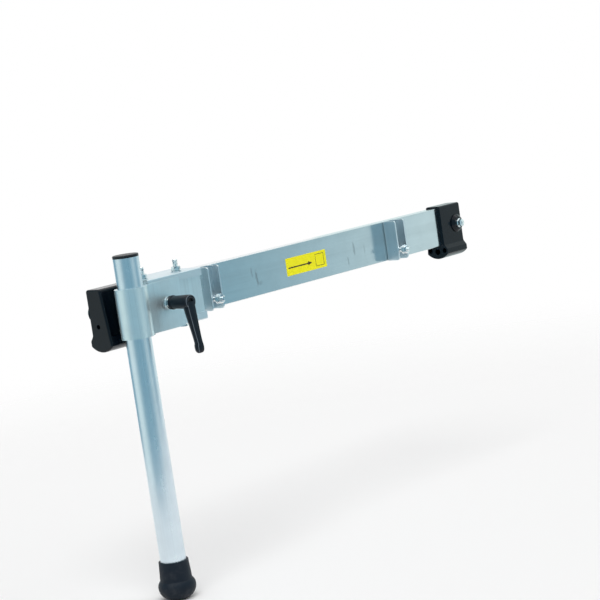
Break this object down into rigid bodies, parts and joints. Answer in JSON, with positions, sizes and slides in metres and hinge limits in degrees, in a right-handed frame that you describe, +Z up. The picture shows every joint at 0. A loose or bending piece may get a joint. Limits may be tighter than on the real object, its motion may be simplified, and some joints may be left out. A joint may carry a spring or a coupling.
{
  "type": "ladder leveller",
  "caption": "Ladder leveller: a crossbar with black end feet that bolts under a ladder's stiles, with a sliding levelling leg locked by a clamping lever.",
  "frame": {"origin": "centre of the crossbar's top face, on which the notched ladder stiles rest", "axes": "+X along the crossbar away from the levelling leg, -Y towards the front (brackets, clamp and lever), +Z up along the levelling leg"},
  "size_m": [0.9213, 0.1459, 0.536],
  "materials": {
    "bar_aluminium": "satin",
    "sleeve_aluminium": "satin",
    "leg_aluminium": "brushed",
    "foot_plastic": "satin",
    "plug_plastic": "matte",
    "lever_plastic": "satin",
    "boot_rubber": "matte",
    "zinc_steel": "bright zinc plated",
    "spring_steel": "bright"
  },
  "bodies": {
    "frame": {"crossbar": "bar_aluminium", "end_foot_left": "foot_plastic", "end_foot_right": "foot_plastic", "foot_screws": "zinc_steel", "foot_washers": "zinc_steel", "foot_rivet_nuts": "zinc_steel", "stile_bracket_left": "bar_aluminium", "stile_bracket_right": "bar_aluminium", "stile_bolts": "zinc_steel", "stile_rear_washers": "zinc_steel", "stile_front_washers": "zinc_steel", "stile_nuts": "zinc_steel", "bar_spacers": "sleeve_aluminium", "saddle_channel": "sleeve_aluminium", "clamp_sleeve": "sleeve_aluminium", "tie_bolts": "zinc_steel", "tie_washers": "zinc_steel", "tie_nuts": "zinc_steel", "clamp_nut": "zinc_steel"},
    "leg": {"leg_tube": "leg_aluminium", "leg_plug": "plug_plastic", "leg_foot": "boot_rubber", "leg_foot_disc": "zinc_steel"},
    "lever_core": {"lever_washer": "zinc_steel", "lever_insert": "spring_steel", "lever_stud": "zinc_steel", "lever_screw": "spring_steel", "lever_spring": "spring_steel"},
    "lever_handle": {"lever_handle": "lever_plastic"}
  },
  "joints": [
    {"name": "leg_slide", "type": "slide", "parent": "frame", "child": "leg", "axis": [0, 0, 1], "range_m": [-0.046, 0.345]},
    {"name": "lever_turn", "type": "hinge", "parent": "frame", "child": "lever_core", "pos_m": [-0.362, -0.061, -0.036], "axis": [0, -1, 0], "range_deg": [0, 270]},
    {"name": "lever_lift", "type": "slide", "parent": "lever_core", "child": "lever_handle", "axis": [0, -1, 0], "range_m": [0, 0.004], "stiffness_N_per_m": 2000, "springref_m": -0.003, "deforming": ["lever_spring"]}
  ]
}
